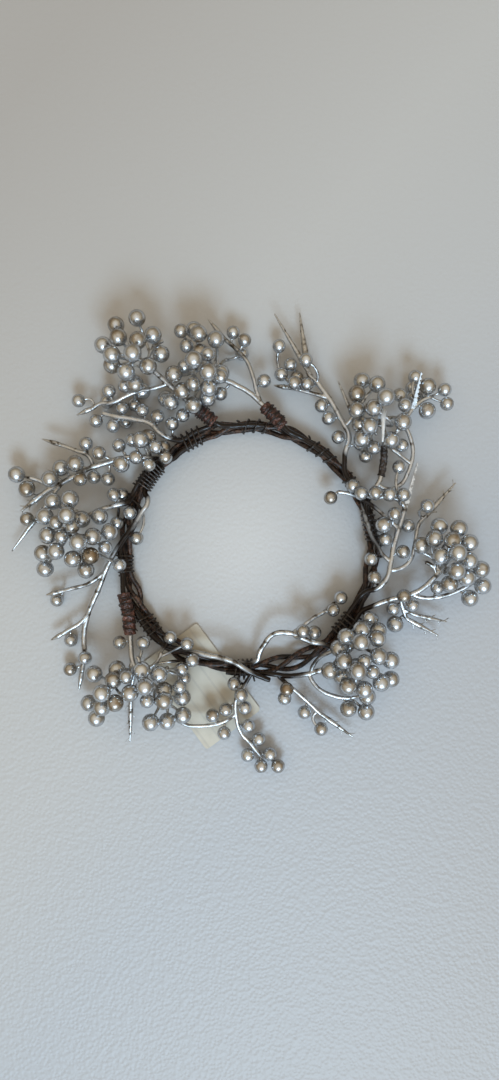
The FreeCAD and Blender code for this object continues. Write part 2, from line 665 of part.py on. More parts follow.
# The paper tag under the ring: the pixels of its middle, and the way that its long side points
TAG_MIDDLE_PIXELS = (201.6, 686.4)
TAG_DEGREES = -53.5
TAG_TOP = RING_HEIGHT - BUNDLE_RADIUS - TAG_GAP


def tag_point(along_share, across_share):
    """A point of the tag's top, in shares of its length and width from its middle."""
    along = outward(TAG_DEGREES)
    middle = seen_place(*TAG_MIDDLE_PIXELS, TAG_TOP)
    return middle + along * (along_share * TAG_LENGTH) + UP.cross(along) * (across_share * TAG_WIDTH)


def paper_tag():
    """A flat card with rounded corners."""
    corners = [tag_point(*shares) for shares in ((-0.5, -0.5), (0.5, -0.5), (0.5, 0.5), (-0.5, 0.5))]
    card = Part.Face(Part.makePolygon(corners + corners[:1])).extrude(UP * -TAG_THICKNESS)
    upright = [edge for edge in card.Edges if abs(edge.tangentAt(edge.FirstParameter).z) > 0.5]
    return card.makeFillet(TAG_CORNER, upright)


# Build the ring, its windings and the stems that the routes give
taken = Taken(SEARCH_CELL)
strands = {}
for number in range(STRAND_COUNT):
    strands["ring_strand_%d" % (number + 1)] = ring_strand(number)
windings = {name: winding(*spec) for name, spec in WINDINGS.items()}
for name, stem in list(strands.items()) + list(windings.items()):
    taken.add_stem(stem, name)
along_steps = int(TAG_LENGTH / SAMPLE_STEP)
across_steps = int(TAG_WIDTH / SAMPLE_STEP)
for along_step in range(along_steps + 1):
    for across_step in range(across_steps + 1):
        spot = tag_point(along_step / along_steps - 0.5, across_step / across_steps - 0.5)
        taken.add(spot - UP * (TAG_THICKNESS / 2), TAG_THICKNESS, "paper_tag")


def tip_place(tip):
    return seen_place(tip[0], tip[1], level(tip[2]))


def last_way_of(design, number, end):
    """The way to a stem's own spike, or none."""
    for stem_number, tip, thorns in design["spikes"]:
        if stem_number == number:
            return unit(tip_place(tip) - end)
    return None


def straight(start, end, radius):
    return Stem([Part.LineSegment(start, end).toShape()], radius)


def root_of(stem, root):
    """The point of a stem nearest to a pixel."""
    return stem.points[stem.nearest(seen_place(*root, RING_TOP))]


stems = {}
for pick, design in PICKS.items():
    stems[pick] = []
    for trunk in design["trunks"]:
        points = foot_points(*trunk["foot"]) + route_places(trunk["route"])
        last_way = last_way_of(design, len(stems[pick]), points[-1])
        stems[pick].append(stem_through(points, TRUNK_RADIUS, last_way))
    for route in design["twigs"]:
        points = route_places(route)
        gaps = []
        for stem in stems[pick]:
            number = stem.nearest(points[0])
            gaps.append(((stem.points[number] - points[0]).Length, stem.points[number], stem.radius))
        _, points[0], carrier_radius = min(gaps, key=lambda gap: gap[0])
        radius = min(TWIG_DIAMETER / 2, carrier_radius * SIDE_TWIG_SHARE)
        last_way = last_way_of(design, len(stems[pick]), points[-1])
        stems[pick].append(stem_through(points, radius, last_way))
    for number, stem in enumerate(stems[pick]):
        taken.add_stem(stem, (pick, number))
    for number, tip, thorns in design["spikes"]:
        taken.add_stem(straight(stems[pick][number].points[-1], tip_place(tip), SPIKE_ROOM), pick)
    for number, root, tip in design.get("side_spikes", []) + design.get("leaves", []):
        taken.add_stem(straight(root_of(stems[pick][number], root), tip_place(tip), SPIKE_ROOM), pick)
    for number, first, last, thickness in design.get("tapes", []):
        stem = stems[pick][number]
        from_number = stem.nearest(seen_place(*first, RING_TOP))
        to_number = stem.nearest(seen_place(*last, RING_TOP))
        for point in stem.points[from_number:to_number + 1]:
            taken.add(point, stem.radius + TAPE_GAP + thickness, pick + " tape")


def dome_level(design, across, down):
    """Height of the umbel's dome over a pixel."""
    (centre_across, centre_down), reach, low, rise = design["dome"]
    off = math.hypot(across - centre_across, down - centre_down) / reach
    return level(low + rise * max(0, 1 - off * off))


berries = []
for pick, design in PICKS.items():
    for size, diameter in (("large", LARGE_BERRY_DIAMETER), ("small", SMALL_BERRY_DIAMETER)):
        for across, down, layer in design[size]:
            seen = seen_place(across, down, RING_TOP)
            carriers = [stem.points[stem.nearest(seen)] for stem in stems[pick]]
            nearest = min(carriers, key=lambda point: (point.x - seen.x) ** 2 + (point.y - seen.y) ** 2)
            height = nearest.z
            if "dome" in design:
                (centre_across, centre_down), reach = design["dome"][:2]
                if math.hypot(across - centre_across, down - centre_down) <= reach:
                    height = dome_level(design, across, down)
            height = max(height + layer * LAYER_STEP, diameter / 2)
            berries.append(Berry(pick, seen_place(across, down, height), diameter / 2, size))


def pushes_on(number, berry, ball_cells):
    """Sum of the pushes that part a berry from its neighbours, the stems and the ring."""
    push = Vector(0, 0, 0)
    for other, radius, owner in ball_cells.near(berry.place):
        apart = berry.place - other
        need = berry.radius + radius + BERRY_GAP
        if owner != number and apart.Length < need:
            tilt = PAIR_TILT_SHARE if (berry.place.z, number) > (other.z, owner) else -PAIR_TILT_SHARE
            push += unit(unit(apart + UP * TINY) + UP * tilt) * ((need - apart.Length) * PAIR_PUSH_SHARE)
    for other, radius, owner in taken.near(berry.place):
        apart = berry.place - other
        need = berry.radius + radius + BERRY_GAP
        if apart.Length < need:
            push += unit(apart + UP * TINY) * (need - apart.Length)
    return push


def settle():
    """Push berries apart, off the stems and the ring, and up from the table, until none touch."""
    for turn in range(SETTLE_ROUNDS):
        moves = 0
        ball_cells = Taken(LARGE_BERRY_DIAMETER + BERRY_GAP)
        for number, berry in enumerate(berries):
            ball_cells.add(berry.place, berry.radius, number)
        for number, berry in enumerate(berries):
            push = pushes_on(number, berry, ball_cells)
            if berry.place.z + push.z < berry.radius:
                push.z = berry.radius - berry.place.z
            if push.Length > SETTLE_REST:
                moves += 1
                berry.place = berry.place + unit(push) * min(push.Length, SETTLE_STEP)
        if moves == 0:
            return turn
    return SETTLE_ROUNDS


print("berries settled in rounds:", settle(), "of", len(berries), "berries")

for number, berry in enumerate(berries):
    taken.add(berry.place, berry.radius, ("berry", number))


# Umbels: boughs fan out from the end of the trunk, and each carries a few berry wires
def bough_groups(pick, trunk, design):
    """The dome's berries, sorted round the trunk's end into small groups."""
    end = trunk.points[-1]
    reach = design["dome"][1] * RING_RADIUS / RING_RADIUS_PIXELS * BOUGH_REACH_SHARE
    members = []
    for number, berry in enumerate(berries):
        off = berry.place - end
        if berry.pick == pick and off.z > berry.radius / 2 and math.hypot(off.x, off.y) < reach:
            members.append((math.atan2(off.y, off.x), number))
    members.sort()
    count = max(1, round(len(members) / BERRIES_PER_BOUGH))
    size = math.ceil(len(members) / count) if members else 1
    return [[number for _, number in members[first:first + size]]
            for first in range(0, len(members), size)]


def room_along(stem, owners, skip):
    """Least gap from a stem to what is taken, past its first few points."""
    return min(taken.room(point, stem.radius, owners) for point in stem.points[skip:])


def turned(vector, axis, degrees):
    return FreeCAD.Rotation(axis, degrees).multVec(vector)


def best_bough(pick, root, middle):
    """The plainest bough from a point of the trunk that passes clear, or the one with most room."""
    trunk = stems[pick][0]
    start = trunk.points[root]
    leg = middle - start
    aside = UP.cross(unit(leg))
    best = None
    for pull in BOUGH_PULL_SHARES:
        for drop in BOUGH_DROPS:
            for side in BOUGH_SIDES:
                end = start + leg * pull - UP * drop + aside * side
                if (end - start).Length < BOUGH_LEAST_LENGTH:
                    continue
                bough = stem_leaving(start, trunk.ways[root], end, BOUGH_DIAMETER / 2)
                room = room_along(bough, {(pick, 0)}, SKIPPED_SAMPLES)
                if best is None or room > best[0]:
                    best = (room, bough)
                if room > ROUTE_GAP:
                    return best
    return best


for pick, design in PICKS.items():
    if "dome" not in design:
        continue
    last_sample = len(stems[pick][0].points) - 1
    for place_number, group in enumerate(bough_groups(pick, stems[pick][0], design)):
        middle = Vector(0, 0, 0)
        for number in group:
            middle += berries[number].place * (1 / len(group))
        roots = [last_sample - 2 * place_number - shift for shift in BOUGH_SHIFTS]
        found = [option for option in (best_bough(pick, root, middle) for root in roots) if option]
        room, bough = max(found, key=lambda option: min(option[0], ROUTE_GAP))
        stems[pick].append(bough)
        taken.add_stem(bough, (pick, len(stems[pick]) - 1))
        if room < 0:
            print("bough touches:", pick, group, round(room, 2))


# Berry wires: each leaves a stem of its pick and curves into its berry
def wire_choices(berry):
    """Places on the stems that a berry's wire could leave, the nearest first."""
    options = []
    for stem_number, stem in enumerate(stems[berry.pick]):
        skip = SKIPPED_SAMPLES if stem.radius < TRUNK_RADIUS else FOOT_SAMPLES
        for sample in range(skip, len(stem.points)):
            chord = berry.place - stem.points[sample]
            if chord.Length > berry.radius + stem.radius + BERRY_GAP / 2:
                facing = unit(chord).dot(stem.ways[sample])
                options.append((chord.Length * (1 + BACKWARD_SHARE * (1 - facing)), stem_number, sample))
    options.sort()
    return options[:WIRE_CHOICES]


def berry_wire(berry, start, lean, roll):
    """A wire from a point: one arc to the berry, then straight into its socket."""
    flat = unit(berry.place - start)
    side = turned(unit(flat.cross(UP + outward(0) * TINY)), flat, roll)
    entering = turned(flat, side, lean)
    mouth = berry.place - entering * berry.radius
    line = mouth - start
    facing = line.dot(entering)
    if facing < LEAST_FACING_SHARE * line.Length:
        return None
    corner = mouth - entering * (line.dot(line) / (2 * facing))
    socket = Part.LineSegment(mouth, mouth + entering * SOCKET_DEPTH).toShape()
    return Stem([arc_edge(start, corner, mouth), socket], BERRY_WIRE_DIAMETER / 2)


def room_round(wire, number, berry, stem_number):
    """Least gap round a berry's wire, past the stem that it leaves."""
    own = {(berry.pick, stem_number), ("berry", number)}
    root_reach = stems[berry.pick][stem_number].radius + wire.radius / 2
    clear = [point for point in wire.points if (point - wire.points[0]).Length > root_reach]
    return min([taken.room(point, wire.radius, own) for point in clear] + [SEARCH_CELL])


touching = 0
for number in sorted(range(len(berries)), key=lambda number: berries[number].place.z):
    berry = berries[number]
    best = None
    for cost, stem_number, sample in wire_choices(berry):
        for lean, roll in WIRE_LEANS_AND_ROLLS:
            wire = berry_wire(berry, stems[berry.pick][stem_number].points[sample], lean, roll)
            if wire is None:
                continue
            room = room_round(wire, number, berry, stem_number)
            if best is None or (min(room, ROUTE_GAP), -cost) > (min(best[0], ROUTE_GAP), -best[1]):
                best = (room, cost, wire, stem_number, sample)
        if best and best[0] > ROUTE_GAP:
            break
    berry.wire, berry.stem_number, berry.root = best[2:]
    taken.add_stem(berry.wire, ("wire", number))
    if best[0] < 0:
        touching += 1
        print("wire touches:", berry.pick, berry.size, [round(v, 1) for v in berry.place], round(best[0], 2))
print("wires that touch:", touching, "of", len(berries))


# Solids of the stems, thorny tips, leaves and tapes
def largest(shape):
    return max(shape.Solids, key=lambda piece: piece.Volume)


def cone(start, way, length, root_radius, tip_radius):
    return Part.makeCone(root_radius, tip_radius, length, start, way)


def meet(stem, other):
    """Whether two stems touch."""
    reach = stem.radius + other.radius + SAMPLE_STEP / 2
    return any((point - place).Length < reach for point in stem.points for place in other.points)


def trimmed(solid, stem, others):
    """A stem's solid, cut back where it meets others."""
    for other, other_solid in others:
        if solid.BoundBox.intersect(other_solid.BoundBox) and meet(stem, other):
            solid = largest(solid.cut(other_solid))
    return solid


def spike(start, tip, root_radius, thorns):
    """A lance-shaped tip, with thorns that lean forward on either side."""
    way = unit(tip - start)
    length = (tip - start).Length
    tip_radius = SPIKE_TIP_DIAMETER / 2
    belly_radius = root_radius * SPIKE_BELLY_SHARE
    rise = length * SPIKE_BELLY_PLACE_SHARE
    solid = cone(start, way, rise, root_radius, belly_radius)
    solid = solid.fuse(cone(start + way * rise, way, length - rise, belly_radius, tip_radius))
    side = unit(way.cross(UP))
    for number in range(thorns):
        share = (number + 0.5) / thorns
        here = root_radius + (tip_radius - root_radius) * share
        leaning = unit(way + side * (-1) ** number)
        thorn = cone(start + way * (length * share), leaning, THORN_LENGTH + here,
                     min(THORN_DIAMETER / 2, here * THORN_ROOT_SHARE), THORN_TIP_DIAMETER / 2)
        solid = solid.fuse(thorn)
    return solid


def toothed_leaf(start, tip):
    """A narrow flat leaf, straight on one edge and toothed like a saw on the other."""
    way = unit(tip - start)
    side = unit(way.cross(UP))
    length = (tip - start).Length
    teeth = round(length / LEAF_TOOTH_SPACING)
    outline = [start - side * (LEAF_WIDTH / 2), tip]
    for number in range(teeth - 1, 0, -1):
        share = number / teeth
        valley = start + way * (length * share) + side * (LEAF_WIDTH / 2 * (1 - share))
        outline.append(valley + side * LEAF_TOOTH + way * (LEAF_TOOTH_SPACING * TOOTH_LEAN_SHARE))
        outline.append(valley)
    outline.append(start + side * (LEAF_WIDTH / 2))
    normal = unit(side.cross(way)) * LEAF_THICKNESS
    outline = [point - normal / 2 for point in outline]
    return Part.Face(Part.makePolygon(outline + outline[:1])).extrude(normal)


def tape(stem, first, last, thickness):
    """Tape wound round a stretch of a stem, each turn lapping over the one before."""
    first_number = stem.nearest(seen_place(*first, RING_TOP))
    last_number = stem.nearest(seen_place(*last, RING_TOP))
    outer = stem.radius + TAPE_GAP + thickness
    inner = outer - min(TAPE_STEP, thickness / 2)
    turns = []
    passed = TAPE_PITCH
    for number in range(first_number, last_number):
        if passed >= TAPE_PITCH:
            turns.append(cone(stem.points[number], stem.ways[number], TAPE_WIDTH, outer, inner))
            passed = 0
        passed += (stem.points[number + 1] - stem.points[number]).Length
    solid = turns[0].fuse(turns[1:])
    return largest(solid.cut(swept(stem.edges, stem.radius + TAPE_GAP)))


def berry_solid(berry):
    """A ball with its socket, which opens where the wire comes in."""
    way = berry.wire.ways[-1]
    ball = Part.makeSphere(berry.radius, berry.place, way)
    bottom = berry.wire.points[-1]
    return ball.cut(Part.makeCylinder(berry.wire.radius, 2 * SOCKET_DEPTH, bottom, way * -1))


# Write every sub-part
os.makedirs("parts", exist_ok=True)


def write(name, solids):
    shape = Part.makeCompound(solids) if len(solids) > 1 else solids[0]
    shape.exportStep("parts/%s.step" % name)


for name, stem in strands.items():
    write(name, [stem.solid()])
for name, stem in windings.items():
    write(name, [stem.solid()])
    print("least gap of", name, "to itself:", round(least_gap_to_itself(stem), 2))
write("paper_tag", [paper_tag()])

for pick, design in PICKS.items():
    carriers = []
    for stem in stems[pick]:
        carriers.append((stem, trimmed(stem.solid(), stem, carriers)))
    wires = []
    balls = {"large": [], "small": []}
    for berry in berries:
        if berry.pick == pick:
            balls[berry.size].append(berry_solid(berry))
            own = stems[pick][berry.stem_number]
            wire = largest(berry.wire.solid().cut(own.stretch(berry.root)))
            others = [pair for pair in carriers if pair[0] is not own] + wires
            wires.append((berry.wire, trimmed(wire, berry.wire, others)))
    write(pick + "_stems", [solid for _, solid in carriers + wires])
    for size, group in balls.items():
        if group:
            write("%s_%s_berries" % (pick, size), group)

    spikes = []
    for number, tip, thorns in design["spikes"]:
        stem = stems[pick][number]
        solid = spike(stem.points[-1], tip_place(tip), stem.radius, thorns)
        spikes.append((straight(stem.points[-1], tip_place(tip), stem.radius), solid))
    for number, root, tip in design.get("side_spikes", []):
        stem = stems[pick][number]
        line = straight(root_of(stem, root), tip_place(tip), stem.radius * SIDE_SPIKE_SHARE)
        solid = spike(line.points[0], line.points[-1], line.radius, 0)
        spikes.append((line, trimmed(solid, line, carriers + spikes)))
    if spikes:
        write(pick + "_spikes", [solid for _, solid in spikes])
    for number, root, tip in design.get("leaves", []):
        line = straight(root_of(stems[pick][number], root), tip_place(tip), LEAF_WIDTH / 2)
        leaf = toothed_leaf(line.points[0], line.points[-1])
        write(pick + "_toothed_leaf", [trimmed(leaf, line, carriers + spikes)])
    for number, first, last, thickness in design.get("tapes", []):
        place = "foot" if thickness == FOOT_TAPE_THICKNESS else "stem"
        write("%s_%s_tape" % (pick, place), [tape(stems[pick][number], first, last, thickness)])
print("done")
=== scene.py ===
import bpy
import math
import random

import numpy as np
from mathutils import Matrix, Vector, noise


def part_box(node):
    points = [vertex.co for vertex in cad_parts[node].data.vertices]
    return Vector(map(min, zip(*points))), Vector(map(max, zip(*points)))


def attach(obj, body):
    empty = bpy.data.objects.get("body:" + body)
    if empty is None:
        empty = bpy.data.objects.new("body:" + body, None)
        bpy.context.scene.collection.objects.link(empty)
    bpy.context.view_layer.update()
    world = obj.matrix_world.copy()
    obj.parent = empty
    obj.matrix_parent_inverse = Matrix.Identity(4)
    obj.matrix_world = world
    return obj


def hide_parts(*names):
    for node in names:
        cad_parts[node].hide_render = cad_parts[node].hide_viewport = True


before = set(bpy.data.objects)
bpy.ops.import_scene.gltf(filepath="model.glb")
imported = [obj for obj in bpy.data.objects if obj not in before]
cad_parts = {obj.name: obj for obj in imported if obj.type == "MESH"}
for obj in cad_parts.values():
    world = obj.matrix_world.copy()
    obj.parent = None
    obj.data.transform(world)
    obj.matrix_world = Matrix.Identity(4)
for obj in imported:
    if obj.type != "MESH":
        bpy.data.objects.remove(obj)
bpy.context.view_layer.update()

# The ring is three long strands of vine, each wrapped in dark brown bark paper. They are twisted
# loosely together seven times round and stand a little apart where the twist was let go.
strand_count = 3
strand_radius = 0.00125
ring_radius = 0.0575
twist_radius = 0.001732
twists = 7
joint_degrees = 144
end_gap_degrees = 0.8
out_of_round = ((0, 0.0), (45, -0.02), (90, 0.0), (225, 0.0), (270, -0.05), (315, -0.02),
                (360, 0.0))
looseness = ((0, 0.3), (6, 0.0), (62, 0.0), (72, 0.5), (80, 0.0), (97, 0.0), (105, 0.6),
             (112, 0.0), (160, 0.0), (168, 0.7), (176, 0.0), (193, 0.0), (201, 0.8), (208, 0.0),
             (220, 0.0), (234, 1.0), (246, 0.0), (264, 0.0), (290, 1.0), (312, 0.0), (340, 0.0),
             (352, 0.5), (360, 0.3))
strand_steps = 1300
strand_sides = 20
look_ahead_degrees = 0.05
strand_length_mm = 361
wrap_pitch_mm = 5.5
slim_share = 0.93
lap_share = 0.05
ridge_share = 0.12
ridge_grain = 2.2
ridge_stretch = 0.16
ridge_shift = 9
crinkle_share = 0.05
crinkle_grain = 4
crinkle_stretch = 0.9
crinkle_shift = 7


def eased(degrees, shares):
    """A share at an angle round the ring, eased between the angles that it is given for."""
    degrees = degrees % 360
    for (before, share_before), (after, share_after) in zip(shares, shares[1:]):
        if before <= degrees <= after:
            ease = (1 - math.cos(math.pi * (degrees - before) / (after - before))) / 2
            return share_before + (share_after - share_before) * ease
    return shares[0][1]


def strand_middle(number, degrees, height):
    """The middle of a strand at an angle round the ring."""
    phase = math.radians(twists * degrees) + 2 * math.pi * number / strand_count
    across = twist_radius * (1 + eased(degrees, looseness)) * math.cos(phase)
    radius = ring_radius * (1 + eased(degrees, out_of_round)) + across
    angle = math.radians(degrees)
    return Vector((radius * math.cos(angle), radius * math.sin(angle),
                   height + twist_radius * math.sin(phase)))


def tube_faces(steps, sides):
    """The faces of a closed tube of a number of steps."""
    faces = []
    for step in range(steps):
        for side in range(sides):
            first = step * sides + side
            second = step * sides + (side + 1) % sides
            faces.append((first, second, second + sides, first + sides))
    faces.append(tuple(range(sides))[::-1])
    faces.append(tuple(range(steps * sides, (steps + 1) * sides)))
    return faces


def new_piece(name, points, faces, material):
    """A smooth-shaded mesh piece that rides on the ring."""
    mesh = bpy.data.meshes.new(name)
    mesh.from_pydata([tuple(point) for point in points], [], faces)
    mesh.shade_smooth()
    mesh.materials.append(material)
    piece = bpy.data.objects.new(name, mesh)
    bpy.context.scene.collection.objects.link(piece)
    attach(piece, "root")
    return piece


def new_material(name):
    """A material with its shader, and a way to add nodes to it."""
    material = bpy.data.materials.new(name)
    material.use_nodes = True
    nodes = material.node_tree.nodes
    links = material.node_tree.links
    shader = nodes["Principled BSDF"]

    def add(kind, inputs=None, **settings):
        node = nodes.new(kind)
        for key, value in settings.items():
            setattr(node, key, value)
        for key, value in (inputs or {}).items():
            if hasattr(value, "is_output"):
                links.new(value, node.inputs[key])
            else:
                node.inputs[key].default_value = value
        return node

    return material, shader, add, links


def set_finish(shader, values):
    """Sets the numbers and colours that are the same all over a surface."""
    for socket, value in values.items():
        shader.inputs[socket].default_value = value


def speckle(add, scale, detail, vector):
    """Fine-grained noise."""
    return add("ShaderNodeTexNoise",
               {"Vector": vector, "Scale": scale, "Detail": detail, "Roughness": 0.55})


def mean_of(add, first, second):
    """The mean of two noises."""
    total = add("ShaderNodeMath", {0: first.outputs["Fac"], 1: second.outputs["Fac"]},
                operation="ADD")
    return add("ShaderNodeMath", {0: total.outputs[0], 1: 0.5}, operation="MULTIPLY").outputs[0]


def ramp(add, factor, stops):
    """Colours that run into one another along a noise."""
    node = add("ShaderNodeValToRGB", {"Fac": factor})
    while len(node.color_ramp.elements) < len(stops):
        node.color_ramp.elements.new(0.5)
    for element, (place, colour) in zip(node.color_ramp.elements, stops):
        element.position = place
        element.color = (*colour, 1)
    return node


def raise_surface(add, links, shader, height, strength, distance):
    """Lifts a surface where a noise is high."""
    bump = add("ShaderNodeBump", {"Height": height, "Strength": strength, "Distance": distance})
    links.new(bump.outputs["Normal"], shader.inputs["Normal"])


def bark_paper():
    """Dark brown paper wrap, waxy: painted shade black in its folds, painted chestnut highlight on
    ridges.
    """
    material, shader, add, links = new_material("bark_paper")
    place = add("ShaderNodeTexCoord").outputs["Object"]
    patches = speckle(add, 300, 4, place)
    fibre_bumps_and_fold_shade = speckle(add, 1400, 3, place)
    # Half of the colour follows the fibre bump: painted shade in the folds, painted highlight on
    # the ridges.
    colour = ramp(add, mean_of(add, patches, fibre_bumps_and_fold_shade),
                  ((0.4, (0.003, 0.0016, 0.001)), (0.5, (0.017, 0.0083, 0.005)),
                   (0.62, (0.135, 0.068, 0.041))))
    links.new(colour.outputs["Color"], shader.inputs["Base Color"])
    gloss = add("ShaderNodeMapRange",
                {"Value": fibre_bumps_and_fold_shade.outputs["Fac"], "To Min": 0.26, "To Max": 0.6})
    links.new(gloss.outputs[0], shader.inputs["Roughness"])
    raise_surface(add, links, shader, fibre_bumps_and_fold_shade.outputs["Fac"], 0.6, 0.0002)
    set_finish(shader, {"Specular IOR Level": 0.32, "Coat Weight": 0.08, "Coat Roughness": 0.18})
    return material


vine_paper = bark_paper()
vine_low, vine_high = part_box("ring_strand_1")
vine_height = (vine_low.z + vine_high.z) / 2
for number in range(strand_count):
    span = 360 - end_gap_degrees
    points = []
    for step in range(strand_steps + 1):
        degrees = joint_degrees + end_gap_degrees / 2 + span * step / strand_steps
        here = strand_middle(number, degrees, vine_height)
        ahead = strand_middle(number, degrees + look_ahead_degrees, vine_height)
        way = (ahead - here).normalized()
        outward = Vector((here.x, here.y, 0)).normalized()
        outward = (outward - way * outward.dot(way)).normalized()
        upward = way.cross(outward)
        run = step / strand_steps * strand_length_mm
        for side in range(strand_sides):
            turn = 2 * math.pi * side / strand_sides
            ridge = noise.noise(Vector((ridge_grain * math.cos(turn) + ridge_shift * number,
                                        ridge_grain * math.sin(turn), run * ridge_stretch)))
            crinkle = noise.noise(Vector((crinkle_grain * math.cos(turn),
                                          crinkle_grain * math.sin(turn) + crinkle_shift * number,
                                          run * crinkle_stretch)))
            lap = (run / wrap_pitch_mm + side / strand_sides) % 1
            radius = strand_radius * (slim_share + ridge_share * ridge + crinkle_share * crinkle
                                      + lap_share * (1 - lap))
            points.append(here + outward * (radius * math.cos(turn))
                          + upward * (radius * math.sin(turn)))
    strand = new_piece("vine_strand_%d" % (number + 1), points,
                       tube_faces(strand_steps, strand_sides), vine_paper)
    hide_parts("ring_strand_%d" % (number + 1))

# The binding is thin annealed wire with a dark brown coat, wound by hand round the strands and the
# feet of the picks, its loops not quite even. It shines where it bends.
wire_radius = 0.00045
loop_degrees = 10
loop_middle = 0.001
least_lean = 0.2
foot_limit = 0.0062
strand_outline_degrees = 20


def coated_wire():
    """Thin dark brown coat, worn lighter in places."""
    material, shader, add, links = new_material("coated_wire")
    place = add("ShaderNodeTexCoord").outputs["Object"]
    wear = speckle(add, 900, 3, place)
    colour = ramp(add, wear.outputs["Fac"],
                  ((0.35, (0.007, 0.004, 0.0025)), (0.6, (0.022, 0.012, 0.0075)),
                   (0.78, (0.12, 0.075, 0.05))))
    links.new(colour.outputs["Color"], shader.inputs["Base Color"])
    gloss = add("ShaderNodeMapRange",
                {"Value": wear.outputs["Fac"], "To Min": 0.3, "To Max": 0.6})
    links.new(gloss.outputs[0], shader.inputs["Roughness"])
    raise_surface(add, links, shader, wear.outputs["Fac"], 0.3, 0.0001)
    set_finish(shader, {"Metallic": 0.2, "Coat Weight": 0.4, "Coat Roughness": 0.2})
    return material


def places_of(mesh, precision=np.float64):
    """The places of a mesh's vertices, one row each."""
    places = np.empty(len(mesh.vertices) * 3, precision)
    mesh.vertices.foreach_get("co", places)
    return places.reshape(-1, 3)


def set_places(mesh, places):
    """Moves a mesh's vertices."""
    mesh.vertices.foreach_set("co", places.reshape(-1))
    mesh.update()


def ring_section(points):
    """Angle round the ring, and place in the ring's cross section, of each point."""
    angles = np.degrees(np.arctan2(points[:, 1], points[:, 0]))
    return angles, np.hypot(points[:, 0], points[:, 1]) - ring_radius, points[:, 2] - vine_height


def outline_reach(across, up):
    """How far a tight loop round some points stands off from its middle, in each direction."""
    ways = np.radians(np.arange(0, 360, loop_degrees))
    support = np.max(np.outer(np.cos(ways), across) + np.outer(np.sin(ways), up), axis=1)
    lean = np.cos(ways[:, None] - ways[None, :])
    reach = np.where(lean > least_lean, support[None, :] / np.maximum(lean, least_lean), np.inf)
    return reach.min(1)


def pulled_tight(points, feet):
    """The points of a winding drawn in, so that its loops bear on the strands and on the feet."""
    angles, across, up = ring_section(points)
    foot_angles, foot_across, foot_up = ring_section(feet)
    middle_angle = math.degrees(math.atan2(points[:, 1].mean(), points[:, 0].mean()))
    away = (foot_angles - middle_angle + 180) % 360 - 180
    spread = np.abs((angles - middle_angle + 180) % 360 - 180).max()
    held = (np.abs(away) < spread) & (np.hypot(foot_across, foot_up) < foot_limit)
    turns = np.radians(np.arange(0, 360, strand_outline_degrees))
    ways = np.degrees(np.arctan2(up - loop_middle, across)) % 360
    distances = np.hypot(across, up - loop_middle)
    sector_count = 360 // loop_degrees
    sectors = (ways / loop_degrees).astype(int) % sector_count
    usual = np.array([np.median(distances[sectors == number]) if (sectors == number).any() else 0
                      for number in range(sector_count)])
    moved = points.copy()
    for degrees in np.unique(np.round(angles)):
        chosen = np.round(angles) == degrees
        middles = [strand_middle(number, degrees, 0) for number in range(strand_count)]
        circle_across = np.array([math.hypot(spot.x, spot.y) - ring_radius for spot in middles])
        circle_up = np.array([spot.z for spot in middles])
        circle_across = (circle_across[:, None] + strand_radius * np.cos(turns)).ravel()
        circle_up = (circle_up[:, None] + strand_radius * np.sin(turns)).ravel()
        reach = outline_reach(np.concatenate([circle_across, foot_across[held]]),
                              np.concatenate([circle_up, foot_up[held]]) - loop_middle)
        drawn = reach[sectors[chosen]] + wire_radius - usual[sectors[chosen]]
        new_distance = np.maximum(distances[chosen] + np.minimum(0, drawn), wire_radius)
        new_across = new_distance * np.cos(np.radians(ways[chosen]))
        new_up = new_distance * np.sin(np.radians(ways[chosen]))
        turned = np.radians(angles[chosen])
        moved[chosen, 0] = (ring_radius + new_across) * np.cos(turned)
        moved[chosen, 1] = (ring_radius + new_across) * np.sin(turned)
        moved[chosen, 2] = new_up + loop_middle + vine_height
    return moved


wire_coat = coated_wire()
foot_places = np.concatenate([places_of(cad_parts[name].data)
                              for name in sorted(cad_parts) if name.endswith("_stems")])
for name in sorted(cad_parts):
    if name.endswith("binding_wire"):
        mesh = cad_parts[name].data.copy()
        set_places(mesh, pulled_tight(places_of(mesh), foot_places))
        mesh.materials.clear()
        mesh.materials.append(wire_coat)
        winding = bpy.data.objects.new("tight_" + name, mesh)
        bpy.context.scene.collection.objects.link(winding)
        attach(winding, "root")
        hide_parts(name)

# The stems of the picks are plastic moulded over wire, so that trunk, boughs and berry wires run
# into one another, and are sprayed silver, thin and brownish in the forks. Their feet on the ring
# are wrapped in the same dark brown paper as the strands.
foot_colour = (0.012, 0.0065, 0.004, 1)
foot_wrap_reach = 0.0062
foot_wrap_fade = 0.0016
foot_height_share = 0.7
flake_scale = 5200


def foot_share(add, place, height):
    """One on the feet that lie along the ring, and none beyond them."""
    parts = add("ShaderNodeSeparateXYZ", {"Vector": place})
    flat = add("ShaderNodeCombineXYZ", {"X": parts.outputs["X"], "Y": parts.outputs["Y"]})
    across = add("ShaderNodeVectorMath", {0: flat.outputs[0]}, operation="LENGTH")
    beside = add("ShaderNodeMath", {0: across.outputs["Value"], 1: ring_radius},
                 operation="SUBTRACT")
    above = add("ShaderNodeMath", {0: parts.outputs["Z"], 1: height}, operation="SUBTRACT")
    lower = add("ShaderNodeMath", {0: above.outputs[0], 1: foot_height_share},
                operation="MULTIPLY")
    off = add("ShaderNodeCombineXYZ", {"X": beside.outputs[0], "Y": lower.outputs[0]})
    distance = add("ShaderNodeVectorMath", {0: off.outputs[0]}, operation="LENGTH")
    share = add("ShaderNodeMapRange",
                {"Value": distance.outputs["Value"], "From Min": foot_wrap_reach,
                 "From Max": foot_wrap_reach + foot_wrap_fade, "To Min": 1.0, "To Max": 0.0})
    return share.outputs[0]


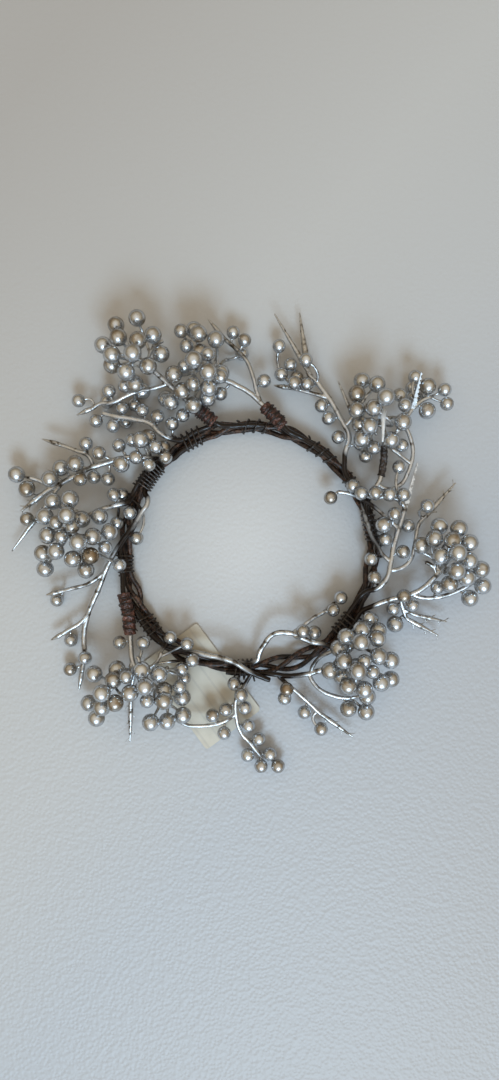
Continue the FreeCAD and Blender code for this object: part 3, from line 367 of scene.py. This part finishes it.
def silver_paint(name, bright, shade, patch_scale, rough_low, rough_high, bump_depth, metal):
    """Sprayed silver with a warm shade where the paint is thin."""
    material, shader, add, links = new_material(name)
    place = add("ShaderNodeTexCoord").outputs["Object"]
    patches = speckle(add, patch_scale, 5, place)
    flake = speckle(add, flake_scale, 2, place)
    brightest = tuple(min(1, 1.15 * part) for part in bright)
    silver = ramp(add, patches.outputs["Fac"], ((0.34, shade), (0.47, bright), (0.8, brightest)))
    wrapped = foot_share(add, place, vine_height)
    colour = add("ShaderNodeMix", {"Factor": wrapped}, data_type="RGBA")
    links.new(silver.outputs["Color"], colour.inputs[6])
    colour.inputs[7].default_value = foot_colour
    links.new(colour.outputs[2], shader.inputs["Base Color"])
    metallic = add("ShaderNodeMapRange", {"Value": wrapped, "To Min": metal, "To Max": 0.0})
    links.new(metallic.outputs[0], shader.inputs["Metallic"])
    gloss = add("ShaderNodeMapRange",
                {"Value": patches.outputs["Fac"], "From Min": 0.3, "From Max": 0.7,
                 "To Min": rough_high, "To Max": rough_low})
    links.new(gloss.outputs[0], shader.inputs["Roughness"])
    raise_surface(add, links, shader, flake.outputs["Fac"], 0.25, bump_depth)
    set_finish(shader, {"Specular Tint": (0.3, 0.3, 0.3, 1), "Coat Weight": 0.3,
                        "Coat Roughness": 0.13})
    return material


def moulded_copy(name, node_name, voxel, smoothing, swell, lump, lump_size, material):
    """The node's tubes grown together into one moulded piece with soft forks and slight lumps."""
    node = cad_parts[node_name]
    piece = bpy.data.objects.new(name, node.data.copy())
    bpy.context.scene.collection.objects.link(piece)
    remesh = piece.modifiers.new("grow together", "REMESH")
    remesh.mode = "VOXEL"
    remesh.voxel_size = voxel
    smooth = piece.modifiers.new("soften", "SMOOTH")
    smooth.iterations = smoothing
    bpy.context.view_layer.update()
    evaluated = piece.evaluated_get(bpy.context.evaluated_depsgraph_get())
    grown = bpy.data.meshes.new_from_object(evaluated)
    piece.modifiers.clear()
    piece.data = grown
    places = places_of(grown, np.float32)
    outwards = np.empty(len(grown.vertices) * 3, np.float32)
    grown.vertex_normals.foreach_get("vector", outwards)
    lumps = np.array([noise.noise(Vector(place) / lump_size) for place in places.tolist()],
                     np.float32)
    places += outwards.reshape(-1, 3) * (swell + lump * lumps)[:, None]
    set_places(grown, places)
    grown.shade_smooth()
    grown.materials.clear()
    grown.materials.append(material)
    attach(piece, "root")
    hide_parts(node_name)
    return piece


stem_paint = silver_paint("sprayed_stem", bright=(0.55, 0.555, 0.56), shade=(0.10, 0.08, 0.06),
                          patch_scale=240, rough_low=0.22, rough_high=0.42, bump_depth=0.00012,
                          metal=0.9)
for name in sorted(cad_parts):
    if name.endswith("_stems"):
        stems = moulded_copy("moulded_" + name, name, voxel=0.00022, smoothing=3, swell=0.00006,
                             lump=0.00016, lump_size=0.003, material=stem_paint)

# The berries are foam balls, each pushed on to the end of its wire with a dab of glue and dipped
# in pearly silver paint. They are not quite round, sink in where the wire enters, and differ in
# tone.
least_berry_width = 0.003
berry_rings = 22
berry_spokes = 32
berry_share = 0.992
dent_depth = 0.09
dent_spread = 0.24
lip_height = 0.012
lip_place = 0.42
lip_spread = 0.12
tip_depth = 0.02
tip_spread = 0.16
lump_depth = 0.011
lump_grain = 1.7
pit_depth = 0.003
pit_grain = 6
tone_spread = 0.05
brown_shift = 0.14
brown_share = 0.07


def face_islands(mesh):
    """For each patch of joined faces of a mesh, its points."""
    places = places_of(mesh)
    mesh.calc_loop_triangles()
    corners = np.empty(len(mesh.loop_triangles) * 3, np.int64)
    mesh.loop_triangles.foreach_get("vertices", corners)
    corners = corners.reshape(-1, 3)
    labels = np.arange(len(places))
    while True:
        lowest = labels[corners].min(1)
        newer = labels.copy()
        for column in range(3):
            np.minimum.at(newer, corners[:, column], lowest)
        newer = newer[newer]
        if (newer == labels).all():
            break
        labels = newer
    return [places[labels == label] for label in np.unique(labels)]


def berry_places(node_name):
    """Middle, radius and the way of the socket of each ball of a node."""
    balls = []
    sockets = []
    for points in face_islands(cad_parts[node_name].data):
        low, high = points.min(0), points.max(0)
        if (high - low).min() > least_berry_width:
            balls.append(((low + high) / 2, (high - low).max() / 2))
        else:
            sockets.append(points.mean(0))
    sockets = np.array(sockets)
    found = []
    for middle, radius in balls:
        off = sockets - middle
        near = sockets[np.linalg.norm(off, axis=1) < radius]
        way = near.mean(0) - middle
        found.append((Vector(middle), radius, Vector(way).normalized()))
    return found


def pearl_paint():
    """Pearly silver dip: neutral silver, brown where the dip ran thin, and a fine pearl grain."""
    material, shader, add, links = new_material("pearl_dip")
    place = add("ShaderNodeTexCoord").outputs["Object"]
    tone = add("ShaderNodeAttribute", attribute_name="tone").outputs["Fac"]
    patches = speckle(add, 260, 4, place)
    grain = speckle(add, 6000, 2, place)
    blend = add("ShaderNodeMath", {0: patches.outputs["Fac"], 1: tone}, operation="ADD")
    colour = ramp(add, blend.outputs[0],
                  ((0.2, (0.30, 0.225, 0.15)), (0.38, (0.47, 0.44, 0.40)),
                   (0.5, (0.59, 0.605, 0.625)), (0.75, (0.72, 0.745, 0.775))))
    links.new(colour.outputs["Color"], shader.inputs["Base Color"])
    gloss = add("ShaderNodeMapRange",
                {"Value": patches.outputs["Fac"], "From Min": 0.3, "From Max": 0.7,
                 "To Min": 0.31, "To Max": 0.22})
    links.new(gloss.outputs[0], shader.inputs["Roughness"])
    raise_surface(add, links, shader, grain.outputs["Fac"], 0.12, 0.00008)
    set_finish(shader, {"Metallic": 0.92, "Specular Tint": (0.26, 0.27, 0.28, 1),
                        "Coat Weight": 0.5, "Coat Roughness": 0.08})
    return material


def berry_reach(lean, way, seed):
    """How far a berry's skin lies from its middle, as a share of its radius."""
    dent = dent_depth * math.exp(-(lean / dent_spread) ** 2)
    lip = lip_height * math.exp(-((lean - lip_place) / lip_spread) ** 2)
    tip = tip_depth * math.exp(-((math.pi - lean) / tip_spread) ** 2)
    uneven = (lump_depth * noise.noise(way * lump_grain + seed)
              + pit_depth * noise.noise(way * pit_grain + seed))
    return min(1, berry_share - (dent - lip) - tip + uneven)


pearl = pearl_paint()
chance = random.Random(8)
for name in sorted(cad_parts):
    if not name.endswith("_berries"):
        continue
    points = []
    faces = []
    tones = []
    for middle, radius, socket_way in berry_places(name):
        turn = socket_way.to_track_quat("Z", "Y").to_matrix()
        squeeze = Vector((chance.uniform(0.965, 1.0), chance.uniform(0.965, 1.0),
                          chance.uniform(0.96, 1.0)))
        seed = Vector((chance.uniform(0, 90), chance.uniform(0, 90), chance.uniform(0, 90)))
        tone = chance.gauss(0, tone_spread)
        tone = tone - (brown_shift if chance.random() < brown_share else 0)
        first = len(points)
        for ring in range(berry_rings + 1):
            lean = math.pi * ring / berry_rings
            for spoke in range(berry_spokes if 0 < ring < berry_rings else 1):
                angle = 2 * math.pi * spoke / berry_spokes
                way = Vector((math.sin(lean) * math.cos(angle), math.sin(lean) * math.sin(angle),
                              math.cos(lean)))
                spot = Vector(part * share for part, share in zip(way, squeeze))
                points.append(middle + turn @ (spot * (radius * berry_reach(lean, way, seed))))
                tones.append(tone)
        last = len(points) - 1
        for spoke in range(berry_spokes):
            after = (spoke + 1) % berry_spokes
            faces.append((first, first + 1 + spoke, first + 1 + after))
            for ring in range(berry_rings - 2):
                start = first + 1 + ring * berry_spokes
                faces.append((start + spoke, start + berry_spokes + spoke,
                              start + berry_spokes + after, start + after))
            start = first + 1 + (berry_rings - 2) * berry_spokes
            faces.append((start + spoke, last, start + after))
    berries = new_piece("dipped_" + name, points, faces, pearl)
    layer = berries.data.attributes.new("tone", "FLOAT", "POINT")
    layer.data.foreach_set("value", np.array(tones, np.float32))
    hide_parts(name)

# The needles and the thorny or toothed tips are the thinnest parts of the moulding. One needle
# arches over the berries; its whiter paint is a painted highlight where it catches the window. The
# paint is thinner on the rest.
needle_root = Vector((0.0604, 0.0602, 0.014))
needle_over = Vector((0.0593, 0.066, 0.031))
needle_tip = Vector((0.0579, 0.0472, 0.0322))
needle_side = 0.052
needle_swell = 1.4
leaf_width_share = 0.6


def arched_needle(mesh):
    """Bends the outermost needle over the berries, thickens it a little and paints it white as a
    painted highlight.
    """
    axis = needle_tip - needle_root
    mesh.materials.append(lit_needle_paint)
    for vertex in mesh.vertices:
        if vertex.co.x > needle_side:
            share = (vertex.co - needle_root).dot(axis) / axis.length_squared
            share = min(max(share, 0), 1)
            off = vertex.co - needle_root.lerp(needle_tip, share)
            before = needle_root.lerp(needle_over, share)
            after = needle_over.lerp(needle_tip, share)
            turn = axis.rotation_difference(after - before)
            vertex.co = before.lerp(after, share) + turn @ off * needle_swell
    for face in mesh.polygons:
        if face.center.x > needle_side:
            face.material_index = 1


def narrowed_copy(name, node_name, share, material):
    """A copy of a flat leaf, drawn in across its width."""
    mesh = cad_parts[node_name].data.copy()
    places = places_of(mesh)
    middle = places.mean(0)
    _, _, ways = np.linalg.svd(places - middle, full_matrices=False)
    across = (places - middle) @ ways[1]
    set_places(mesh, places - np.outer(across * (1 - share), ways[1]))
    mesh.materials.clear()
    mesh.materials.append(material)
    piece = bpy.data.objects.new(name, mesh)
    bpy.context.scene.collection.objects.link(piece)
    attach(piece, "root")
    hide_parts(node_name)
    return piece


needle_paint = silver_paint("sprayed_needle", bright=(0.50, 0.495, 0.485),
                            shade=(0.09, 0.07, 0.05), patch_scale=420, rough_low=0.24,
                            rough_high=0.42, bump_depth=0.0001, metal=0.88)
leaf_paint = silver_paint("sprayed_leaf", bright=(0.66, 0.67, 0.675), shade=(0.17, 0.15, 0.125),
                          patch_scale=620, rough_low=0.24, rough_high=0.4, bump_depth=0.0001,
                          metal=0.7)
# Painted highlight: a whiter copy of the needle paint, so that the arched needle looks lit by the
# window.
lit_needle_paint = silver_paint("painted_highlight_spray", bright=(0.86, 0.90, 0.94),
                           shade=(0.56, 0.56, 0.55), patch_scale=500, rough_low=0.3,
                           rough_high=0.42, bump_depth=0.0001, metal=0.3)
for name in sorted(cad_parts):
    if name.endswith("_spikes"):
        spikes = moulded_copy("moulded_" + name, name, voxel=0.00014, smoothing=1, swell=0.00008,
                              lump=0.0001, lump_size=0.002, material=needle_paint)
        if name.startswith("top_right"):
            arched_needle(spikes.data)
    if name.endswith("toothed_leaf"):
        leaf = narrowed_copy("narrow_" + name, name, leaf_width_share, leaf_paint)

# Waxed crepe tape is stretched and wound over the feet of some picks. It is reddish brown, and
# each turn laps over the one before it in fine crosswise crinkles.


def crepe(name, dark, mid, light):
    """Waxed crinkled paper, stained unevenly, with painted shade in its crinkles and painted
    highlight on their crests.
    """
    material, shader, add, links = new_material(name)
    place = add("ShaderNodeTexCoord").outputs["Object"]
    folds = speckle(add, 1500, 4, place)
    stains = speckle(add, 300, 2, place)
    # Half of the colour follows the crinkle bump: painted shade in the crinkles, painted highlight
    # on the crests; the stains are the paper's own.
    colour = ramp(add, mean_of(add, folds, stains), ((0.36, dark), (0.5, mid), (0.64, light)))
    links.new(colour.outputs["Color"], shader.inputs["Base Color"])
    raise_surface(add, links, shader, folds.outputs["Fac"], 0.6, 0.0003)
    set_finish(shader, {"Roughness": 0.5, "Coat Weight": 0.3, "Coat Roughness": 0.35})
    return material


foot_crepe = crepe("foot_crepe", dark=(0.015, 0.0042, 0.0026), mid=(0.062, 0.019, 0.011),
                   light=(0.21, 0.08, 0.051))
stem_crepe = crepe("stem_crepe", dark=(0.006, 0.004, 0.003), mid=(0.022, 0.012, 0.008),
                   light=(0.07, 0.04, 0.026))
for name in sorted(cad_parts):
    if name.endswith("_tape"):
        paper = foot_crepe if name.endswith("foot_tape") else stem_crepe
        tape = moulded_copy("crinkled_" + name, name, voxel=0.00018, smoothing=1, swell=0.0001,
                            lump=0.0005, lump_size=0.0009, material=paper)

# Over each foot tape goes a thin dark thread, wound by hand from end to end and back in slanting,
# uneven turns.
thread_radius = 0.00026
thread_sides = 8
thread_steps = 220
thread_turns = (5.5, -3.2)
thread_lift = 0.0002
thread_lap_lift = 0.00022
thread_wander = 0.0002
thread_wander_grain = 0.11
thread_slip = 0.7
thread_slip_grain = 0.05
foot_slices = 5


def middle_line(points, count):
    """Middles and radii of slices of a short straight tube's points."""
    middle = points.mean(0)
    _, _, ways = np.linalg.svd(points - middle, full_matrices=False)
    along = (points - middle) @ ways[0]
    edges = np.linspace(along.min(), along.max(), count + 1)
    line = []
    for low, high in zip(edges, edges[1:]):
        slice_points = points[(along >= low) & (along <= high)]
        if len(slice_points):
            spot = slice_points.mean(0)
            off = slice_points - spot
            off = off - np.outer(off @ ways[0], ways[0])
            line.append((Vector(spot), float(np.linalg.norm(off, axis=1).max())))
    return line


def tube_points(path, radius, sides):
    """The points of a thin tube along a path."""
    points = []
    for number, here in enumerate(path):
        ahead = path[min(number + 1, len(path) - 1)]
        way = (ahead - path[max(number - 1, 0)]).normalized()
        if number == 0:
            across = way.orthogonal().normalized()
        else:
            across = (across - way * across.dot(way)).normalized()
        up = way.cross(across)
        for side in range(sides):
            turn = 2 * math.pi * side / sides
            points.append(here + across * (radius * math.cos(turn))
                          + up * (radius * math.sin(turn)))
    return points


chance = random.Random(21)
for name in sorted(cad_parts):
    if not name.endswith("foot_tape"):
        continue
    line = middle_line(places_of(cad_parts[name].data), foot_slices)
    points = []
    faces = []
    for lap, turns in enumerate(thread_turns):
        path = []
        offset = chance.uniform(0, 2 * math.pi)
        for step in range(thread_steps + 1):
            share = step / thread_steps * (len(line) - 1)
            first = min(int(share), len(line) - 2)
            spot = line[first][0].lerp(line[first + 1][0], share - first)
            reach = line[first][1] + (line[first + 1][1] - line[first][1]) * (share - first)
            way = (line[first + 1][0] - line[first][0]).normalized()
            side_way = way.cross(Vector((0, 0, 1))).normalized()
            up_way = side_way.cross(way)
            slip = noise.noise(Vector((step * thread_slip_grain, lap, offset)))
            angle = offset + 2 * math.pi * turns * step / thread_steps + thread_slip * slip
            wander = noise.noise(Vector((step * thread_wander_grain, 3 + lap, offset)))
            reach = reach + thread_lift + thread_lap_lift * lap + thread_wander * wander
            path.append(spot + side_way * (reach * math.cos(angle))
                        + up_way * (reach * math.sin(angle)))
        faces += [tuple(len(points) + corner for corner in face)
                  for face in tube_faces(thread_steps, thread_sides)]
        points += tube_points(path, thread_radius, thread_sides)
    thread = new_piece("thread_over_" + name, points, faces, wire_coat)

# The tag is a plain cream card, lightly soiled, with faint grey ruled lines on its upper face. It
# lies flat under the ring.
card_turn_degrees = 53.5
rule_spacing = 0.0032
rule_width = 0.0005
rule_strength = 0.16
rule_colour = (0.24, 0.24, 0.25, 1)


def card():
    """Soiled cream card with faint ruled lines."""
    material, shader, add, links = new_material("cream_card")
    place = add("ShaderNodeTexCoord").outputs["Object"]
    turned = add("ShaderNodeMapping",
                 {"Vector": place, "Rotation": (0, 0, math.radians(card_turn_degrees))})
    pulp = speckle(add, 900, 5, place)
    soil = speckle(add, 60, 3, place)
    colour = ramp(add, soil.outputs["Fac"],
                  ((0.3, (0.50, 0.45, 0.365)), (0.6, (0.63, 0.585, 0.495))))
    parts = add("ShaderNodeSeparateXYZ", {"Vector": turned.outputs[0]})
    rows = add("ShaderNodeMath", {0: parts.outputs["Y"], 1: rule_spacing}, operation="PINGPONG")
    ruled = add("ShaderNodeMath", {0: rows.outputs[0], 1: rule_width}, operation="LESS_THAN")
    faint = add("ShaderNodeMath", {0: ruled.outputs[0], 1: rule_strength}, operation="MULTIPLY")
    inked = add("ShaderNodeMix", {"Factor": faint.outputs[0], "A": colour.outputs["Color"],
                                  "B": rule_colour}, data_type="RGBA")
    links.new(inked.outputs["Result"], shader.inputs["Base Color"])
    raise_surface(add, links, shader, pulp.outputs["Fac"], 0.15, 0.0001)
    set_finish(shader, {"Roughness": 0.75})
    return material


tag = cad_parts["paper_tag"]
tag.data.materials.clear()
tag.data.materials.append(card())

# The table is a plain pale surface with a fine pebbled grain. Its colour holds painted light:
# painted warm shade, dimmer towards the upper left, and painted cool window light towards the
# bottom of the view.
table_width = 8
painted_light_tilt = 0.84
painted_light_reach = 0.29
lit_pool_radius = 0.055
lit_pool_brightness = 1.18
pebble_scale = 620.0


def pale_surface():
    """Pebbled pale surface with painted light: a painted pool of light inside the ring, painted
    shade across the view.
    """
    material, shader, add, links = new_material("pale_surface")
    place = add("ShaderNodeTexCoord").outputs["Object"]
    parts = add("ShaderNodeSeparateXYZ", {"Vector": place})
    slope = add("ShaderNodeMath", {0: parts.outputs["X"], 1: -1.0}, operation="MULTIPLY")
    tilt = add("ShaderNodeMath", {0: parts.outputs["Y"], 1: painted_light_tilt}, operation="MULTIPLY")
    away = add("ShaderNodeMath", {0: slope.outputs[0], 1: tilt.outputs[0]}, operation="ADD")
    share = add("ShaderNodeMapRange", {"Value": away.outputs[0], "From Min": -painted_light_reach,
                                       "From Max": painted_light_reach})
    # Painted light across the table: painted warm shade towards the upper left, painted cool
    # window light towards the bottom.
    tone = ramp(add, share.outputs[0],
                ((0.0, (0.438, 0.427, 0.426)), (0.33, (0.457, 0.466, 0.485)),
                 (0.5, (0.507, 0.501, 0.497)), (0.66, (0.521, 0.508, 0.493)),
                 (1.0, (0.437, 0.41, 0.386))))
    reach = add("ShaderNodeVectorMath", {0: place}, operation="LENGTH")
    # A painted pool of light: the table's colour is made brighter towards the middle of the ring.
    worn = add("ShaderNodeMapRange",
               {"Value": reach.outputs["Value"], "From Max": lit_pool_radius,
                "To Min": lit_pool_brightness, "To Max": 1.0}, interpolation_type="SMOOTHSTEP")
    colour = add("ShaderNodeVectorMath", {0: tone.outputs["Color"]}, operation="SCALE")
    links.new(worn.outputs[0], colour.inputs["Scale"])
    links.new(colour.outputs[0], shader.inputs["Base Color"])
    pebbles = add("ShaderNodeTexVoronoi",
                  {"Vector": place, "Scale": pebble_scale, "Smoothness": 0.6},
                  feature="SMOOTH_F1")
    grain = add("ShaderNodeMapRange", {"Value": parts.outputs["Y"], "From Min": -0.2,
                                       "From Max": 0.15, "To Min": 1.0, "To Max": 0.2})
    height = add("ShaderNodeMath", {0: pebbles.outputs["Distance"], 1: grain.outputs[0]},
                 operation="MULTIPLY")
    raise_surface(add, links, shader, height.outputs[0], 0.6, 0.0004)
    set_finish(shader, {"Roughness": 0.5})
    return material


bpy.ops.mesh.primitive_plane_add(size=table_width)
table = bpy.context.object
table.name = "table_top"
table.data.materials.append(pale_surface())

# Light: a cool soft window beyond the bottom of the view, and a warm dim room that is brightest
# overhead and darkest near the table. Views from the side see a pale backdrop.
wall_low = (0.12, 0.092, 0.06, 1)
wall_colours = ((0.5, (0.47, 0.375, 0.235, 1)), (0.85, (0.75, 0.665, 0.53, 1)))
ceiling = (0.86, 0.80, 0.71, 1)
glow_way = Vector((0.14, -0.74, 0.66))
glow_edge = 0.76
glow_colour = (1.2, 1.38, 1.55, 1)
backdrop = (0.74, 0.76, 0.78, 1)

window = bpy.data.lights.new("window", "AREA")
window.shape = "DISK"
window.size = 0.75
window.energy = 29
window.color = (0.54, 0.76, 0.97)
window_lamp = bpy.data.objects.new("window", window)
bpy.context.scene.collection.objects.link(window_lamp)
window_lamp.location = Vector((0.20, -1.40, 1.60))
window_lamp.rotation_euler = (-window_lamp.location).to_track_quat("-Z", "Y").to_euler()

world = bpy.data.worlds.new("room")
world.use_nodes = True
bpy.context.scene.world = world
room = world.node_tree.nodes
room_links = world.node_tree.links
background = room["Background"]
towards = room.new("ShaderNodeTexCoord")
parts = room.new("ShaderNodeSeparateXYZ")
room_links.new(towards.outputs["Generated"], parts.inputs[0])
walls = room.new("ShaderNodeValToRGB")
room_links.new(parts.outputs["Z"], walls.inputs["Fac"])
for place, colour in wall_colours:
    walls.color_ramp.elements.new(place).color = colour
walls.color_ramp.elements[0].color = wall_low
walls.color_ramp.elements[-1].color = ceiling
facing = room.new("ShaderNodeVectorMath")
facing.operation = "DOT_PRODUCT"
room_links.new(towards.outputs["Generated"], facing.inputs[0])
facing.inputs[1].default_value = glow_way.normalized()
glow = room.new("ShaderNodeMapRange")
glow.interpolation_type = "SMOOTHSTEP"
glow.inputs["From Min"].default_value = glow_edge
glow.inputs["From Max"].default_value = 1.0
room_links.new(facing.outputs["Value"], glow.inputs["Value"])
sky = room.new("ShaderNodeMix")
sky.data_type = "RGBA"
room_links.new(glow.outputs[0], sky.inputs["Factor"])
room_links.new(walls.outputs["Color"], sky.inputs[6])
sky.inputs[7].default_value = glow_colour
rays = room.new("ShaderNodeLightPath")
seen = room.new("ShaderNodeMix")
seen.data_type = "RGBA"
room_links.new(rays.outputs["Is Camera Ray"], seen.inputs["Factor"])
room_links.new(sky.outputs[2], seen.inputs[6])
seen.inputs[7].default_value = backdrop
room_links.new(seen.outputs[2], background.inputs["Color"])
background.inputs["Strength"].default_value = 1.0

# The camera looks straight down from 380 mm, with the middle of the ring ten pixels below the
# middle of the picture.
eye_height = 0.380
picture_height = 1080
ring_radius_in_picture = 122
ring_drop_in_picture = 10
camera = bpy.data.cameras.new("overhead")
camera.sensor_width = 36
picture_scale = ring_radius / ring_radius_in_picture
camera.lens = camera.sensor_width * eye_height / picture_scale / picture_height
camera.shift_y = ring_drop_in_picture / picture_height
overhead = bpy.data.objects.new("overhead", camera)
bpy.context.scene.collection.objects.link(overhead)
overhead.location = (0, 0, eye_height)
bpy.context.scene.camera = overhead
bpy.context.scene.view_settings.view_transform = "Standard"
